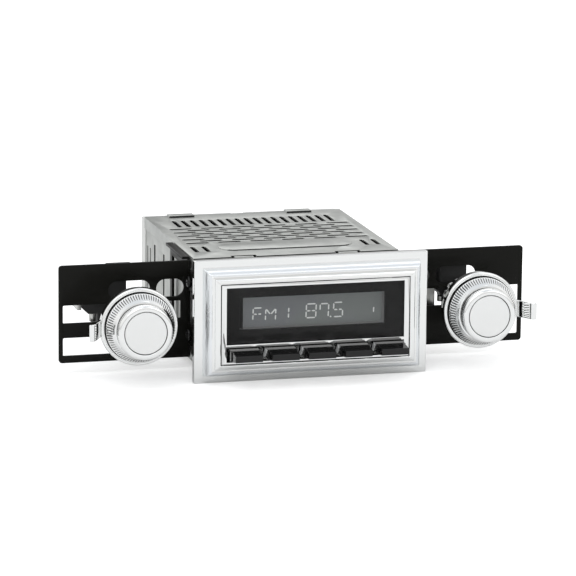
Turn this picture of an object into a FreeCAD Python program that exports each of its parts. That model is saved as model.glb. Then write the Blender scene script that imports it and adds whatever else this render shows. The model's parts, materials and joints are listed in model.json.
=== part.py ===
"""Shaft-mount car radio: chassis, chrome nose and bezel, two adjustable control shafts.

Frame: millimetres, +X to the right as the driver sees it, +Y into the dashboard, +Z up.
The origin is the centre of the bezel's back face, where it seats on the dashboard.
"""
import FreeCAD, Part
import math
import os
import re

import Sketcher

Vector = FreeCAD.Vector
doc = FreeCAD.newDocument("car_radio")

# ---------------------------------------------------------------- driving dimensions
DIMENSIONS = {
    "bezel_width": 110.0, "bezel_height": 57.0, "bezel_side": 10.6, "bezel_sill": 9.9,
    "rim_thick": 3.0, "bezel_front": 11.4,
    "nose_width": 88.2, "nose_height": 36.6, "nose_face": 11.0, "nose_back": 3.0,
    "window_width": 83.6, "window_top": 16.9, "window_foot": -9.4, "brow_foot": -10.7,
    "key_floor": -17.4, "key_recess": 5.0,
    "key_pitch": 17.1, "key_width": 13.6, "key_front": 23.5, "key_top": -11.0,
    "key_travel": 1.5, "key_gap": 0.3,
    "chassis_width": 97.8, "chassis_front": 23.8, "chassis_back": 124.9,
    "chassis_top": 23.9, "chassis_foot": -25.7, "sheet_steel": 0.8, "cover_lip": 5.5,
    "ear_front": 17.5,
    "sink_depth": 7.6, "sink_base": 2.6, "sink_top": 22.7, "fin_pitch": 5.0, "fin_thick": 1.8,
    "plate_front": 27.7, "plate_thick": 1.2, "plate_inner": 49.3, "plate_outer": 111.1,
    "plate_foot": -23.1, "plate_top": 22.4, "flange_back": 64.0, "rail_out": 2.1,
    "screw_y": 23.5, "slot_half": 1.8, "screw_high": 13.3, "screw_low": -11.7,
    "left_shaft": -79.9, "right_shaft": 81.7, "shaft_z": -1.2,
    "bush_radius": 3.3, "tube_radius": 2.8, "rod_radius": 2.0, "running_gap": 0.05,
    "ring_radius": 17.9, "ring_front": -1.6, "ring_back": 3.6,
    "knob_radius": 16.6, "knob_back": -2.6, "cap_radius": 12.6, "cap_front": -14.6,
    "disc_radius": 9.8,
    "board_thick": 1.6, "board_z": -19.0,
}
sheet = doc.addObject("Spreadsheet::Sheet", "Dims")
for row, (alias, size) in enumerate(DIMENSIONS.items(), 1):
    sheet.set(f"A{row}", alias.replace("_", " "))
    sheet.set(f"B{row}", str(size))
    sheet.setAlias(f"B{row}", alias)
doc.recompute()

NAMES = re.compile(r"\b(" + "|".join(DIMENSIONS) + r")\b")
nodes = {}


def bind(formula):
    """A formula in the sheet's names, as an expression that reads the sheet."""
    return NAMES.sub(r"Dims.\1", str(formula))


def add(label, thing):
    """Register a finished sub-part under the name that its file gets."""
    thing.Label = label
    nodes[label] = thing
    return thing


# ---------------------------------------------------------------- primitives and booleans
def block(x, y, z, name="block"):
    """A box between the low and high end of each axis; an end is a number or a formula."""
    box = doc.addObject("Part::Box", name)
    for size, axis, (low, high) in zip(("Length", "Width", "Height"), "xyz", (x, y, z)):
        box.setExpression(size, bind(f"({high}) - ({low})"))
        box.setExpression(f"Placement.Base.{axis}", bind(low))
    return box


TURNS = {"x": FreeCAD.Rotation(Vector(0, 1, 0), 90), "y": FreeCAD.Rotation(Vector(1, 0, 0), -90),
         "z": FreeCAD.Rotation()}


def rod(axis, radius, low, high, x=0, y=0, z=0, name="rod"):
    """A cylinder along one axis, from low to high, with its other two coordinates given."""
    bar = doc.addObject("Part::Cylinder", name)
    bar.Placement = FreeCAD.Placement(Vector(), TURNS[axis])
    place = {"x": x, "y": y, "z": z}
    place[axis] = low
    bar.setExpression("Radius", bind(radius))
    bar.setExpression("Height", bind(f"({high}) - ({low})"))
    for key, where in place.items():
        bar.setExpression(f"Placement.Base.{key}", bind(where))
    return bar


def fuse(*pieces):
    """The union of the pieces, as one solid."""
    if len(pieces) == 1:
        return pieces[0]
    joined = doc.addObject("Part::MultiFuse", "fuse")
    joined.Shapes = list(pieces)
    joined.Refine = True
    return joined


def group(*pieces):
    """Separate solids kept side by side in one sub-part."""
    together = doc.addObject("Part::Compound", "group")
    together.Links = list(pieces)
    return together


def cut(base, *tools):
    """The base with every tool taken away."""
    rest = doc.addObject("Part::Cut", "cut")
    rest.Base = base
    rest.Tool = fuse(*tools)
    rest.Refine = True
    return rest


def rounded(base, radius, *picks):
    """The base with the edges that any of the picks accepts rounded off."""
    doc.recompute()
    fillet = doc.addObject("Part::Fillet", "rounded")
    fillet.Base = base
    edges = [i for i, edge in enumerate(base.Shape.Edges, 1) if any(pick(edge) for pick in picks)]
    fillet.Edges = [(i, radius, radius) for i in edges]
    return fillet


def along(axis, *tests):
    """A picker of straight edges that run along an axis and pass every extra test."""
    way = {"x": Vector(1, 0, 0), "y": Vector(0, 1, 0), "z": Vector(0, 0, 1)}[axis]

    def pick(edge):
        ends = [vertex.Point for vertex in edge.Vertexes]
        if len(ends) != 2 or edge.Curve.TypeId != "Part::GeomLine":
            return False
        run = ends[1].sub(ends[0])
        straight = abs(abs(run.dot(way)) - run.Length) < 1e-6
        return straight and all(test(edge.CenterOfMass) for test in tests)
    return pick


# ---------------------------------------------------------------- bodies with sketches
PLANES = {"XY": "XY_Plane", "XZ": "XZ_Plane", "YZ": "YZ_Plane"}


def body(label):
    return doc.addObject("PartDesign::Body", label)


def sketch(owner, plane, at=0):
    """A sketch on one of the body's origin planes, moved along +Z, +Y or +X to at."""
    drawing = owner.newObject("Sketcher::SketchObject", "sketch")
    role = PLANES[plane]
    origin = next(item for item in owner.Origin.OriginFeatures if item.Role == role)
    drawing.AttachmentSupport = [(origin, "")]
    drawing.MapMode = "FlatFace"
    sign = "-" if plane == "XZ" else ""
    drawing.setExpression("AttachmentOffset.Base.z", bind(f"{sign}({at})"))
    return drawing


def hold(drawing, geometry, point, u, v):
    """Tie a point of the sketch to its two formulas, measured from the sketch's origin."""
    for kind, formula in (("DistanceX", u), ("DistanceY", v)):
        start = sheet_value(formula)
        index = drawing.addConstraint(Sketcher.Constraint(kind, -1, 1, geometry, point, start))
        drawing.setExpression(f"Constraints[{index}]", bind(formula))


def sheet_value(formula):
    """The number that a formula in the sheet's names comes to."""
    probe = doc.getObject("Probe") or doc.addObject("App::FeaturePython", "Probe")
    if "answer" not in probe.PropertiesList:
        probe.addProperty("App::PropertyFloat", "answer")
    return float(probe.evalExpression(bind(formula)))


def outline(drawing, points):
    """A closed run of straight edges through the points."""
    spots = [Vector(sheet_value(u), sheet_value(v), 0) for u, v in points]
    first = drawing.GeometryCount
    for i, spot in enumerate(spots):
        drawing.addGeometry(Part.LineSegment(spot, spots[(i + 1) % len(spots)]), False)
    for i, (u, v) in enumerate(points):
        before = first + (i - 1) % len(points)
        drawing.addConstraint(Sketcher.Constraint("Coincident", before, 2, first + i, 1))
        hold(drawing, first + i, 1, u, v)


def rectangle(drawing, u, v):
    """A closed rectangle between the low and high ends u and v."""
    outline(drawing, [(u[0], v[0]), (u[1], v[0]), (u[1], v[1]), (u[0], v[1])])


def stadium(drawing, u, v, upright=False):
    """A slot with half-round ends that fills the rectangle between the ends u and v."""
    low_u, high_u, low_v, high_v = (sheet_value(end) for end in (*u, *v))
    if upright:
        radius, middle = (high_u - low_u) / 2, (low_u + high_u) / 2
        centres = [Vector(middle, high_v - radius, 0), Vector(middle, low_v + radius, 0)]
        turn = 0
    else:
        radius, middle = (high_v - low_v) / 2, (low_v + high_v) / 2
        centres = [Vector(low_u + radius, middle, 0), Vector(high_u - radius, middle, 0)]
        turn = math.pi / 2
    ends = []
    for i, centre in enumerate(centres):
        circle = Part.Circle(centre, Vector(0, 0, 1), radius)
        arc = Part.ArcOfCircle(circle, turn + i * math.pi, turn + (i + 1) * math.pi)
        ends.append(drawing.addGeometry(arc, False))
    for here, there in ((0, 1), (1, 0)):
        start = drawing.getPoint(ends[here], 2)
        finish = drawing.getPoint(ends[there], 1)
        line = drawing.addGeometry(Part.LineSegment(start, finish), False)
        drawing.addConstraint(Sketcher.Constraint("Tangent", ends[here], 2, line, 1))
        drawing.addConstraint(Sketcher.Constraint("Tangent", line, 2, ends[there], 1))


def feature(owner, kind, profile, length, name):
    """A pad or pocket of the profile, which runs towards +Z, +Y or +X."""
    solid = owner.newObject(f"PartDesign::{kind}", name)
    solid.Profile = profile
    solid.setExpression("Length", bind(length))
    towards_minus_y = profile.AttachmentSupport[0][0].Role == "XZ_Plane"
    solid.Reversed = towards_minus_y if kind == "Pad" else not towards_minus_y
    profile.Visibility = False
    return solid


def slab(owner, plane, at, length, draw, kind="Pad"):
    """Pad or pocket whatever draw(sketch) draws, from at over length."""
    profile = sketch(owner, plane, at)
    draw(profile)
    return feature(owner, kind, profile, length, kind.lower())


def prism(label, plane, at, length, points):
    """A body with one straight-edged profile, from at over length."""
    owner = body(label)
    slab(owner, plane, at, length, lambda drawing: outline(drawing, points))
    return owner


def turned(label, points, x=0, z=0):
    """A body turned about an axis along Y, from points of (radius, y)."""
    owner = body(label)
    profile = sketch(owner, "XY")
    outline(profile, points)
    spin = owner.newObject("PartDesign::Revolution", "turn")
    spin.Profile = profile
    spin.ReferenceAxis = (profile, ["V_Axis"])
    spin.Angle = 360
    owner.setExpression("Placement.Base.x", bind(x))
    owner.setExpression("Placement.Base.z", bind(z))
    return owner


def patterned(owner, feature_made, profile, runs):
    """Repeat a feature: each run is (sketch axis, whole length, number)."""
    repeat = owner.newObject("PartDesign::MultiTransform", "repeat")
    repeat.Originals = [feature_made]
    steps = []
    for axis, length, count in runs:
        step = owner.newObject("PartDesign::LinearPattern", "step")
        step.Direction = (profile, [axis])
        step.Length = length
        step.Occurrences = count
        steps.append(step)
    repeat.Transformations = steps
    owner.Tip = repeat
    return repeat


# ---------------------------------------------------------------- bezel and nose
def rectangle_ring(stages):
    """A solid lofted through rectangles: each stage is (half width, half height, y)."""
    loft = doc.addObject("Part::Loft", "loft")
    sections = []
    for half_w, half_h, y in stages:
        plate = doc.addObject("Sketcher::SketchObject", "stage")
        plate.Placement = FreeCAD.Placement(Vector(), FreeCAD.Rotation(Vector(1, 0, 0), 90))
        plate.setExpression("Placement.Base.y", bind(y))
        rectangle(plate, (f"-({half_w})", half_w), (f"-({half_h})", half_h))
        sections.append(plate)
    loft.Sections = sections
    loft.Solid = True
    loft.Ruled = True
    return loft


def make_bezel():
    """A stepped picture frame, hollow behind, that seats on the dashboard at y = 0."""
    steps = [(0, 0), (0, -2.4), (0.05, "-rim_thick"), (0.37, "-rim_thick - 0.1"), (0.64, -9.4),
             (0.76, -9.9), (0.80, -10.6), (0.93, "-bezel_front"), (1, "0.3 - bezel_front")]
    outside = rectangle_ring([
        (f"bezel_width / 2 - bezel_side * {t}", f"bezel_height / 2 - bezel_sill * {t}", y)
        for t, y in steps])
    inner_w, inner_h = "(bezel_width / 2 - bezel_side)", "(bezel_height / 2 - bezel_sill)"
    opening = block((f"-{inner_w}", inner_w), ("-bezel_front - 2", 2), (f"-{inner_h}", inner_h))
    hollow = cut(
        rectangle_ring([("bezel_width / 2 - 4", "bezel_height / 2 - 4", 0),
                        ("bezel_width / 2 - 4.6", "bezel_height / 2 - 4.6", -1.4),
                        ("bezel_width / 2 - 8", "bezel_height / 2 - 7.6", -8)]),
        block((f"-{inner_w} - 1.4", f"{inner_w} + 1.4"), (-9, 2),
              (f"-{inner_h} - 1.4", f"{inner_h} + 1.4")))
    add("bezel", cut(outside, opening, hollow))


def key_x(index):
    return f"({index} - 2) * key_pitch"


def key_slot(index, y, z, spare="key_gap"):
    """The clear space of one key's pocket."""
    half = f"(key_width / 2 + {spare})"
    return block((f"{key_x(index)} - {half}", f"{key_x(index)} + {half}"), y, z)


def make_nose_trim():
    """The chromed front frame: window above, five key pockets in a raked panel below."""
    half_w = "window_width / 2"
    blank = block(("-nose_width / 2", "nose_width / 2"), ("-nose_face", "-nose_back"),
                  ("-nose_height / 2", "nose_height / 2"))
    window = block((f"-{half_w}", half_w), ("-nose_face - 1", 0), ("window_foot", "window_top"))
    rake = prism("rake", "YZ", f"-{half_w}", "window_width",
                 [("-nose_face - 1", "brow_foot + 0.6"), ("-nose_face - 1", "key_floor"),
                  ("-key_recess", "key_floor"), ("-nose_face + 0.6", "brow_foot + 0.6")])
    brow = block((f"-{half_w}", half_w), ("-nose_face", "-nose_face + 2"), ("brow_foot", "window_foot"))
    pockets = [key_slot(i, ("-nose_face - 1", 0), ("key_floor - 0.1", "brow_foot"))
               for i in range(5)]
    add("nose_trim", cut(fuse(cut(blank, window, rake), brow), *pockets))


def make_nose_housing():
    """The black moulded box behind the trim, open at both ends, that joins it to the chassis."""
    wall = 1.5
    half_w, half_h = "(nose_width / 2 - 0.5)", "(nose_height / 2 - 0.5)"
    shell = block((f"-{half_w}", half_w), ("-nose_back", "chassis_front"), (f"-{half_h}", half_h))
    hollow = block((f"-{half_w} + {wall}", f"{half_w} - {wall}"), ("-nose_back - 1", "chassis_front + 1"),
                   (f"-{half_h} + {wall}", f"{half_h} - {wall}"))
    add("nose_housing", cut(shell, hollow))
    clips = []
    for side in (-1, 1):
        middle = f"{side} * ({half_w} + 0.3)"
        clips.append(block((f"{middle} - 0.3", f"{middle} + 0.3"), (0.4, 9), (-6, 6)))
    add("bezel_clips", group(*clips))


def make_display():
    """Clear lens, black mask with its deep well, liquid crystal panel, light guide and board."""
    half_w = "(window_width / 2 - 0.1)"
    low, high = "window_foot + 0.1", "window_top - 0.1"
    add("display_lens", block((f"-{half_w}", half_w), ("-nose_face + 0.5", "-nose_face + 1.3"), (low, high)))
    lcd_x, lcd_z, lcd_front = (-33.9, 32.9), (-2.9, 11.9), -4.8
    mask_front = "-nose_face + 1.3"
    plate = block((f"-{half_w}", half_w), (mask_front, "-nose_face + 2.5"), (low, high))
    well = block((lcd_x[0] - 1.2, lcd_x[1] + 1.2), (mask_front, lcd_front), (lcd_z[0] - 1.2, lcd_z[1] + 1.2))
    sight = block(lcd_x, (-12, 0), lcd_z)
    add("display_mask", cut(fuse(plate, well), sight))
    around = ((lcd_x[0] - 1.6, lcd_x[1] + 1.6), (lcd_z[0] - 1.6, lcd_z[1] + 1.6))
    add("lcd_panel", block(around[0], (lcd_front, lcd_front + 2.0), around[1]))
    add("light_guide", block(around[0], (lcd_front + 2.0, lcd_front + 5.0), around[1]))
    board_front = 10.0
    board = block((-41, 41), (board_front, f"{board_front} + board_thick"), (-15.6, 15.6))
    add("display_board", board)
    switches = []
    for i in range(5):
        can = block((f"{key_x(i)} - 3", f"{key_x(i)} + 3"), (6.5, board_front), (-15.2, -11.2))
        stem = rod("y", 1.6, 5.0, 6.5, x=key_x(i), z=-13.2)
        switches.append(fuse(can, stem))
    add("key_switches", group(*switches))
    pins = block((-12, 12), (f"{board_front} + board_thick", 20), (-8, -3))
    ways = [rod("y", 0.7, 15, 21, x=-10 + 2 * n, z=-5.5) for n in range(11)]
    add("board_connector", cut(pins, *ways))


def make_keys():
    """Five preset keys: a raked finger block in front, a stem that meets its switch behind."""
    heel = "-(nose_back + key_travel + 0.4)"
    for i in range(5):
        finger = prism(f"finger_{i + 1}", "YZ", f"{key_x(i)} - key_width / 2", "key_width",
                       [("-key_front", "key_top - 0.8"), ("-key_front", "key_top - 3.9"),
                        (-8, "key_floor + 0.2"), (heel, "key_floor + 0.2"), (heel, "key_top"),
                        (-13.5, "key_top")])
        stem = block((f"{key_x(i)} - 4", f"{key_x(i)} + 4"), (f"{heel} - 1", "5 - key_travel"),
                     (-14.7, -11.7))
        add(f"preset_key_{i + 1}", fuse(finger, stem))


# ---------------------------------------------------------------- chassis
def make_tray():
    """Folded steel tray: floor and two sides, with ears in front for the bracket screws."""
    outer, floor = "(chassis_width / 2 - sheet_steel)", "chassis_foot"
    walls = block((f"-{outer}", outer), ("chassis_front", "chassis_back"),
                  (floor, "chassis_top - sheet_steel"))
    inside = block((f"-{outer} + sheet_steel", f"{outer} - sheet_steel"),
                   ("chassis_front - 1", "chassis_back + 1"), (f"{floor} + sheet_steel", "chassis_top + 1"))
    ears, cuts = [], [inside]
    for side in (-1, 1):
        near = f"{side} * ({outer} - sheet_steel / 2)"
        reach = (f"{near} - sheet_steel / 2", f"{near} + sheet_steel / 2")
        for level in ("screw_high", "screw_low"):
            ears.append(block(reach, ("ear_front", "chassis_front + 1"),
                              (f"{level} - 4.6", f"{level} + 4.6")))
            cuts.append(rod("x", 1.5, f"{near} - 3", f"{near} + 3", y="screw_y", z=level))
        for y, half, top in ((87, 1.3, 13), (106, 1.4, 13.8), (115.3, 0.7, 10.5), (121.0, 0.7, 10.5)):
            cuts.append(block((f"{near} - 3", f"{near} + 3"), (y - half, y + half), (-16, top)))
    add("chassis_tray", cut(fuse(walls, *ears), *cuts))


def make_cover():
    """Folded steel lid with lips over the tray's sides, slotted for cooling."""
    cover = body("top_cover")
    half = "chassis_width / 2"
    lip = "chassis_top - cover_lip"
    slab(cover, "XZ", "chassis_front", "chassis_back - chassis_front",
         lambda s: outline(s, [(f"-{half}", lip), (f"-{half} + sheet_steel", lip),
                               (f"-{half} + sheet_steel", "chassis_top - sheet_steel"),
                               (f"{half} - sheet_steel", "chassis_top - sheet_steel"),
                               (f"{half} - sheet_steel", lip), (half, lip), (half, "chassis_top"),
                               (f"-{half}", "chassis_top")]))
    under = "chassis_top - sheet_steel - 1"
    vents = [((-38.85, -36.65), (96.5, 112), True, (("H_Axis", 75.5, 18),)),
             ((-44.3, -33.0), (90.9, 93.1), False, (("H_Axis", 77.3, 6), ("Reverse", 33.8, 5))),
             ((-36.6, -25.3), (86.675, 88.875), False, (("H_Axis", 61.84, 5), ("Reverse", 25.35, 4))),
             ((-44.7, -42.5), (37.5, 50), True, (("H_Axis", 5.4, 2),)),
             ((37.1, 39.3), (37.5, 50), True, (("H_Axis", 5.4, 2),))]
    for across, deep, upright, runs in vents:
        profile = sketch(cover, "XY", under)
        stadium(profile, across, deep, upright)
        pocket = feature(cover, "Pocket", profile, "sheet_steel + 2", "vent")
        repeat = patterned(cover, pocket, profile,
                           [("H_Axis" if axis == "H_Axis" else "V_Axis", length, count)
                            for axis, length, count in runs])
        for step in repeat.Transformations[1:]:
            step.Reversed = True
    for side in (-1, 1):
        slab(cover, "XY", under, "sheet_steel + 2",
             lambda s: rectangle(s, (24.85 * side - 6, 24.85 * side + 6), (22, 26.6)), "Pocket")
    slab(cover, "XY", "chassis_top", 0.45, lambda s: stadium(s, (-32, 32), (37.5, 51.5)))
    hook_half = 6.2
    for middle in (-31.6, 27.0):
        slab(cover, "XY", "chassis_top", 0.9,
             lambda s: rectangle(s, (middle - hook_half, middle + hook_half), (119.5, "chassis_back")))
    add("top_cover", cover)


def make_front_panel():
    """Steel front wall of the chassis, with the opening that the nose passes through."""
    half = "(chassis_width / 2 - 2 * sheet_steel - 0.1)"
    plate = block((f"-{half}", half), ("chassis_front", "chassis_front + sheet_steel"), (-24.8, 23.0))
    opening = block((-36, 36), (20, 30), (-14.5, 14.5))
    tabs = [block((24.85 * side - 4.5, 24.85 * side + 4.5), ("chassis_front", "chassis_front + 2.2"),
                  (22, 23.7)) for side in (-1, 1)]
    add("front_panel", cut(fuse(plate, *tabs), opening))


def make_boards():
    """Main circuit board on standoffs, with its tuner, capacitors and power amplifier."""
    top, floor = "board_z + board_thick", "chassis_foot + sheet_steel"
    posts = [(x, y) for x in (-40, 40) for y in (32, 108)]
    board = block((-45.5, 45.5), (27, 120), ("board_z", top))
    holes = [rod("z", 1.5, -30, 0, x=x, y=y) for x, y in posts]
    notches = [block(across, (front, 121), (-20, 0))
               for across, front in (((-40.5, -25.5), 115), ((-22.3, 6.3), 111.5), ((35.2, 42.8), 116))]
    add("main_board", cut(board, *holes, *notches))
    add("board_standoffs", group(*[rod("z", 3, floor, "board_z", x=x, y=y) for x, y in posts]))
    add("board_screws", group(*[fuse(rod("z", 1.4, "board_z", top, x=x, y=y),
                                     rod("z", 2.8, top, f"{top} + 1.8", x=x, y=y)) for x, y in posts]))
    add("tuner_can", block((-34, -8), (66, 104), (top, f"{top} + 14")))
    slab_of_chip = block((9, 33), ("chassis_back - 6", "chassis_back"), (-5, 13))
    legs = [block((10.6 + 2 * n, 11.4 + 2 * n), (118.9, 119.6), (top, -4)) for n in range(11)]
    add("amplifier_chip", fuse(slab_of_chip, *legs))
    cans = [(22, 92, 6.3, 22), (38, 92, 5, 16), (38, 76, 5, 16), (20, 74, 4, 12), (-24, 48, 4, 12)]
    add("board_capacitors", group(*[rod("z", radius, top, f"{top} + {tall}", x=x, y=y)
                                    for x, y, radius, tall in cans]))


# ---------------------------------------------------------------- rear
def make_rear():
    """Finned aluminium rear wall with the aerial, harness and audio sockets and the rear stud."""
    half = "(chassis_width / 2 - 0.4)"
    face, tips = "chassis_back + sink_base", "chassis_back + sink_depth"
    base = block((f"-{half}", half), ("chassis_back", face), (-25.2, "sink_top"))
    fins = [block((f"-{half}", half), ("chassis_back", tips),
                  (f"sink_top - {n} * fin_pitch - fin_thick", f"sink_top - {n} * fin_pitch"))
            for n in range(6)]
    ends = [block(across, ("chassis_back", tips), (-25.2, "sink_top"))
            for across in ((f"-{half}", f"-{half} + 1.5"), (f"{half} - 1.5", half))]
    notch = block((-4.3, 2.0), (face, "chassis_back + 10"), (-10, 24))
    tapped_at = ((-44, -20), (44, -7.2))
    tapped = [rod("y", 1.5, 120, 140, x=x, z=z) for x, z in tapped_at]
    stud_hole = rod("y", 2.65, 120, 140, x=-1.15, z=8)
    ports = [block((-22, 6), (120, face), (-23.5, -10.5)), rod("y", 5.5, 120, 140, x=-33, z=-17)]
    ports += [rod("y", 4.2, 120, 140, x=x, z=z) for x in (16, 28) for z in (-20.3, -11.2)]
    fuse_port = block((35.5, 42.5), (120, face), (-23.5, -11.5))
    add("heat_sink", cut(fuse(base, *fins, *ends), notch, *tapped, stud_hole, *ports, fuse_port))
    add("heat_sink_screws", group(*[fuse(rod("y", 1.45, 122, face, x=x, z=z),
                                         rod("y", 2.8, face, f"{face} + 1.8", x=x, z=z))
                                    for x, z in tapped_at]))
    stages = [(5.0, "chassis_back - 5", "chassis_back"), (2.6, "chassis_back - 1", face),
              (3.05, face, f"{tips} + 0.1"), (5.2, f"{tips} + 0.1", f"{tips} + 1.7"),
              (2.95, f"{tips} + 1.7", f"{tips} + 14.7")]
    add("rear_stud", fuse(*[rod("y", radius, low, high, x=-1.15, z=8) for radius, low, high in stages]))
    socket = fuse(rod("y", 5.4, 118, "chassis_back + 9", x=-33, z=-17),
                  rod("y", 6.6, 116, 118, x=-33, z=-17))
    add("antenna_socket", cut(socket, rod("y", 4.2, "chassis_back - 1", "chassis_back + 10", x=-33, z=-17)))
    shell = block((-21.8, 5.8), (112, "chassis_back + 6"), (-23.3, -10.7))
    mouth = block((-20, 4), ("chassis_back - 4", "chassis_back + 7"), (-21.6, -12.4))
    add("harness_connector", cut(shell, mouth))
    jacks = []
    for x in (16, 28):
        for z in (-20.3, -11.2):
            jack = rod("y", 4.1, "chassis_back - 2", "chassis_back + 8.5", x=x, z=z)
            jacks.append(cut(jack, rod("y", 1.6, "chassis_back + 0.5", "chassis_back + 9", x=x, z=z)))
    add("audio_sockets", group(*jacks))
    add("fuse_holder", block((35.7, 42.3), ("chassis_back - 8", "chassis_back + 3.4"), (-23.3, -11.7)))
    add("blade_fuse", block((37.2, 40.8), ("chassis_back + 3.4", "chassis_back + 8"), (-22, -13)))


# ---------------------------------------------------------------- shaft brackets
def make_bracket(name, side):
    """A black steel angle: slotted face plate and a side flange that slides on two screws."""
    def across(near, far):
        ends = [f"{side} * ({near})", f"{side} * ({far})"]
        return ends if side > 0 else ends[::-1]

    arm = body(f"{name}_plate")
    slab(arm, "XZ", "plate_front", "plate_thick",
         lambda s: rectangle(s, across("plate_inner", "plate_outer"), ("plate_foot", "plate_top")))
    for near_far in ((52.5, 65.5), (68.3, 88.15)):
        slab(arm, "XZ", "plate_front - 1", "plate_thick + 2",
             lambda s: stadium(s, across(*near_far), (5.7, 14.1)), "Pocket")
    for near_far, levels in (((54, 109.2), (-4.6, 3.8)), ((84.0, 109.2), (-19.8, -11.4))):
        slab(arm, "XZ", "plate_front - 1", "plate_thick + 2",
             lambda s: rectangle(s, across(*near_far), levels), "Pocket")
    plate = rounded(arm, 1.5, along("y", lambda c: abs(c.x) > 111))
    plate = rounded(plate, 0.6, along("y", lambda c: c.z < 4 and 53 < abs(c.x) < 55),
                    along("y", lambda c: c.z < 4 and 83 < abs(c.x) < 110))
    skin = across("plate_inner", "plate_inner + plate_thick")
    flange = block(skin, ("plate_front", "flange_back"), ("plate_foot", "plate_top"))
    gap = block(across("plate_inner - 2", "plate_inner + 4"), (37, "flange_back - 4"), (-19.3, 18.2))
    tabs, slots = [], []
    through, slot_ends = across("plate_inner - 1", "plate_inner + 3"), (20.5, 25.0)
    for level in ("screw_high", "screw_low"):
        tabs.append(block(skin, ("ear_front - 1", "plate_front"), (f"{level} - 4.6", f"{level} + 4.6")))
        slots.append(block(through, slot_ends, (f"{level} - slot_half", f"{level} + slot_half")))
        slots += [rod("x", "slot_half", *through, y=y, z=level) for y in slot_ends]
    rails = []
    if side < 0:
        rails.append(block(across("plate_inner", "plate_inner + plate_thick + rail_out"),
                           ("plate_front + 3", "flange_back"), ("plate_top", "plate_top + plate_thick")))
    add(f"{name}_bracket", cut(fuse(plate, flange, *rails, *tabs), gap, *slots))

    screws = []
    seat = "plate_inner + plate_thick"
    for level in ("screw_high", "screw_low"):
        shank = rod("x", 1.45, *across("chassis_width / 2 - 1.65", seat), y="screw_y", z=level)
        head = rod("x", 2.75, *across(seat, f"{seat} + 2"), y="screw_y", z=level)
        recess = cross_recess(across(f"{seat} + 0.9", f"{seat} + 3"), level)
        screws.append(cut(fuse(shank, head), *recess))
    add(f"{name}_bracket_screws", group(*screws))


def cross_recess(x, level):
    """Two bars that cut a cross into a screw's head."""
    return [block(x, ("screw_y - 1.5", "screw_y + 1.5"), (f"{level} - 0.3", f"{level} + 0.3")),
            block(x, ("screw_y - 0.3", "screw_y + 0.3"), (f"{level} - 1.5", f"{level} + 1.5"))]


# ---------------------------------------------------------------- control shafts
# Outline of each case behind its plate, from the shaft: (x, z); its raised tower's depth and top.
CASES = {
    "left": ([(-20, 16), (-20, 1.8), (-17.2, -0.9), (-12.4, -0.9), (-12.4, -9.5), (0.6, -9.5), (0.6, 16)],
             31, 22.3),
    "right": ([(-11, 16), (-11, 1.6), (-8.6, -1), (-4.5, -1), (-4.5, -9.5), (2.3, -9.5), (2.3, 16)],
              37, 20.2),
}
# Bright metal parts beside each case: boxes (x, y, z) and one upright pin (x, y, low, high).
ENCODERS = {
    "left": ([((-22, -20), (31, 42), (0.6, 15))], (-14.7, 32, -4.8, -0.9)),
    "right": ([((-16.5, -12.2), (32, 43), (-10, 14))], (-9.1, 33, -3.6, -1)),
}


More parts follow.
